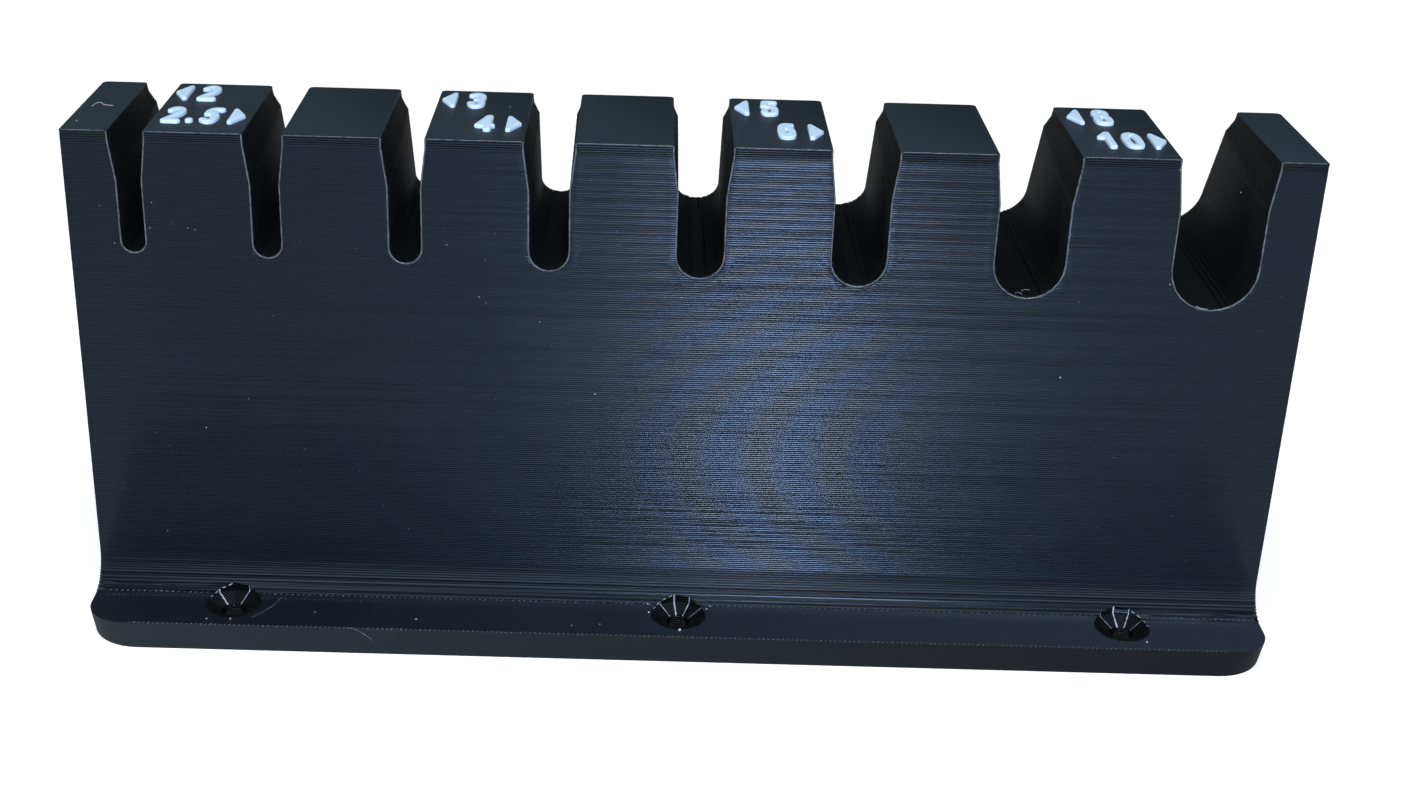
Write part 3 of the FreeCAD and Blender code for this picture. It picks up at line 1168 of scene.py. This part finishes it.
# Lamps: place, width and height in metres, and colour. They all face the stand's middle.
LAMPS = {
    "key": ((0.05, -0.45, 1.1), 0.9, 0.9, (1, 1, 1)),
    "window": ((0.1, -0.95, 0.3), 0.08, 0.3, (0.66, 0.74, 1)),
    "left_strip": ((-0.9, -0.62, 0.3), 0.06, 0.5, (1, 1, 1)),
    "right_strip": ((0.9, -0.62, 0.3), 0.06, 0.5, (1, 1, 1)),
}
LAMP_AIM = Vector((0, 0, 0.04))
RIGHT_STRIP_SHARE = 0.15

# The direction that the soft light comes from, and how it falls off away from it.
BRIGHT_SIDE = (-0.45, -0.6, 0.7)
AMBIENT_FADE = (-0.5, 0.6)

# The floor's half size, and the distances between which it is shown brighter to stay white.
FLOOR_REACH = 3.0
FLOOR_FADE = (0.4, 1.2)
FAR_GLOW = 0.7

# The camera's place from the middle of the wall's top front edge, and its sideways shift.
CAMERA_OFFSET = Vector((-5.98 * MM, -242.09 * MM, 74.63 * MM))
CAMERA_SHIFT = 0.0423


class StageSettings(bpy.types.PropertyGroup):
    key_power: power_setting("Key power", "Power of the large soft lamp above", 8.3)
    window_power: power_setting("Window power", "Power of the narrow lamp in front", 6.8)
    side_power: power_setting(
        "Side power", "Power of the narrow lamp at the left, a share of which is at the right", 3.0,
    )
    ambient: FloatProperty(
        name="Ambient", description="Strength of the light from the front and above", default=0.4, min=0,
    )
    ambient_behind: FloatProperty(
        name="Ambient behind", description="Strength of the light from low behind", default=0.02, min=0,
    )
    floor_glow: FloatProperty(
        name="Floor glow", description="Light of its own with which the floor is seen as white",
        default=0.36, min=0,
    )
    floor_colour: colour_setting("Floor colour", "Colour of the floor", (0.9, 0.9, 0.9))
    lens: FloatProperty(
        name="Lens", description="Focal length of the camera in millimetres", default=51.18,
    )
    camera_tilt: angle_setting("Camera tilt", "How far the camera looks down", 24.56)
    camera_roll: angle_setting("Camera roll", "How far the camera leans to one side", 1.594)
    camera_pan: angle_setting("Camera pan", "How far the camera turns to one side", -0.098)


def add_lamp(name, watts):
    """A soft rectangular lamp that faces the stand."""
    place, width, height, tint = LAMPS[name]
    lamp = bpy.data.lights.new(name, "AREA")
    lamp.shape = "RECTANGLE"
    lamp.size = width
    lamp.size_y = height
    lamp.energy = watts
    lamp.color = tint
    holder = bpy.data.objects.new(name, lamp)
    holder.location = place
    holder.rotation_euler = (LAMP_AIM - Vector(place)).to_track_quat("-Z", "Y").to_euler()
    bpy.context.scene.collection.objects.link(holder)


def light_world(settings):
    """Soft light from all round, weakest low behind the stand and to its right, seen as white."""
    sheet = NodeSheet(bpy.data.worlds.new("studio"), "ShaderNodeOutputWorld")
    direction = sheet.add("ShaderNodeTexCoord").outputs["Generated"]
    slant = sheet.add("ShaderNodeVectorMath", {0: direction, 1: BRIGHT_SIDE}, operation="DOT_PRODUCT")
    low_high = (settings.ambient_behind, settings.ambient)
    strength = sheet.ramp(slant.outputs["Value"], *AMBIENT_FADE, *low_high, kind="SMOOTHSTEP")
    rays = sheet.add("ShaderNodeLightPath").outputs
    seen = sheet.math("MAXIMUM", strength, rays["Is Camera Ray"])
    background = sheet.add("ShaderNodeBackground", {"Color": (1, 1, 1, 1), "Strength": seen})
    bpy.context.scene.world = sheet.finish(background)


def floor_material(settings):
    """A pale floor that is seen as white, also far away, and mirrored as nearly white."""
    sheet = material_sheet("pale_floor")
    rays = sheet.add("ShaderNodeLightPath").outputs
    seen = sheet.math("MAXIMUM", rays["Is Camera Ray"], rays["Is Glossy Ray"])
    seen = sheet.math("MAXIMUM", seen, rays["Is Transmission Ray"])
    place = sheet.add("ShaderNodeTexCoord").outputs["Object"]
    away = sheet.add("ShaderNodeVectorMath", {0: place}, operation="LENGTH").outputs["Value"]
    far = sheet.product(rays["Is Camera Ray"], sheet.ramp(away, *FLOOR_FADE, 0.0, FAR_GLOW))
    strength = sheet.math("MULTIPLY_ADD", seen, settings.floor_glow, far)
    glow = sheet.add("ShaderNodeEmission", {"Strength": strength})
    paint = sheet.add("ShaderNodeBsdfDiffuse", {"Color": (*settings.floor_colour, 1)})
    return sheet.finish(sheet.add("ShaderNodeAddShader", {0: glow.outputs[0], 1: paint.outputs[0]}))


def add_floor(settings):
    """A flat floor under the stand."""
    bm = bmesh.new()
    bmesh.ops.create_grid(bm, x_segments=1, y_segments=1, size=FLOOR_REACH)
    mesh = mesh_from(bm, "floor")
    mesh.materials.append(floor_material(settings))
    floor = bpy.data.objects.new("floor", mesh)
    bpy.context.scene.collection.objects.link(floor)


def add_camera(settings):
    """The camera in front of the stand, a little above it and left of its middle."""
    camera = bpy.data.cameras.new("camera")
    camera.lens = settings.lens
    camera.sensor_width = 36
    camera.sensor_fit = "HORIZONTAL"
    camera.shift_x = CAMERA_SHIFT
    camera.clip_start = 0.01
    holder = bpy.data.objects.new("camera", camera)
    place = Matrix.Translation(Vector((0, WALL_FRONT, TOP)) + CAMERA_OFFSET)
    pan = Matrix.Rotation(settings.camera_pan, 4, "Z")
    tilt = Matrix.Rotation(math.pi / 2 - settings.camera_tilt, 4, "X")
    roll = Matrix.Rotation(settings.camera_roll, 4, "Z")
    holder.matrix_world = place @ pan @ tilt @ roll
    bpy.context.scene.collection.objects.link(holder)
    bpy.context.scene.camera = holder


class StandStage(bpy.types.Operator):
    """Sets the floor, the lamps and the camera"""

    bl_idname = "hexstand.stage"
    bl_label = "Stage"

    def execute(self, context):
        settings = context.scene.hexstand_stage
        add_floor(settings)
        light_world(settings)
        add_lamp("key", settings.key_power)
        add_lamp("window", settings.window_power)
        add_lamp("left_strip", settings.side_power)
        add_lamp("right_strip", RIGHT_STRIP_SHARE * settings.side_power)
        add_camera(settings)
        context.scene.view_settings.view_transform = "Standard"
        return {"FINISHED"}


class StandPanel(bpy.types.Panel):
    """Lists the steps that dress the stand"""

    bl_idname = "VIEW3D_PT_hexstand"
    bl_label = "Hex key stand"
    bl_space_type = "VIEW_3D"
    bl_region_type = "UI"
    bl_category = "Hex key stand"

    def draw(self, context):
        scene = context.scene
        for operator, name, _ in STEPS:
            box = self.layout.box()
            box.operator(operator.bl_idname)
            group = getattr(scene, name)
            for setting in group.bl_rna.properties.keys():
                if setting not in ("rna_type", "name"):
                    box.prop(group, setting)


# Each operator, the scene's name for its settings, and their group.
STEPS = (
    (StandBody, "hexstand_body", StandSettings),
    (StandMarks, "hexstand_marks", MarkSettings),
    (StandBeads, "hexstand_beads", BeadSettings),
    (StandLint, "hexstand_lint", LintSettings),
    (StandStage, "hexstand_stage", StageSettings),
)


def register():
    for operator, name, group in STEPS:
        bpy.utils.register_class(group)
        setattr(bpy.types.Scene, name, PointerProperty(type=group))
        bpy.utils.register_class(operator)
    bpy.utils.register_class(StandPanel)


def unregister():
    bpy.utils.unregister_class(StandPanel)
    for operator, name, group in reversed(STEPS):
        bpy.utils.unregister_class(operator)
        delattr(bpy.types.Scene, name)
        bpy.utils.unregister_class(group)


def main():
    """Builds the stand and its stage."""
    register()
    bpy.ops.hexstand.body()
    bpy.ops.hexstand.marks()
    bpy.ops.hexstand.beads()
    bpy.ops.hexstand.lint()
    bpy.ops.hexstand.stage()


if __name__ == "__main__":
    main()
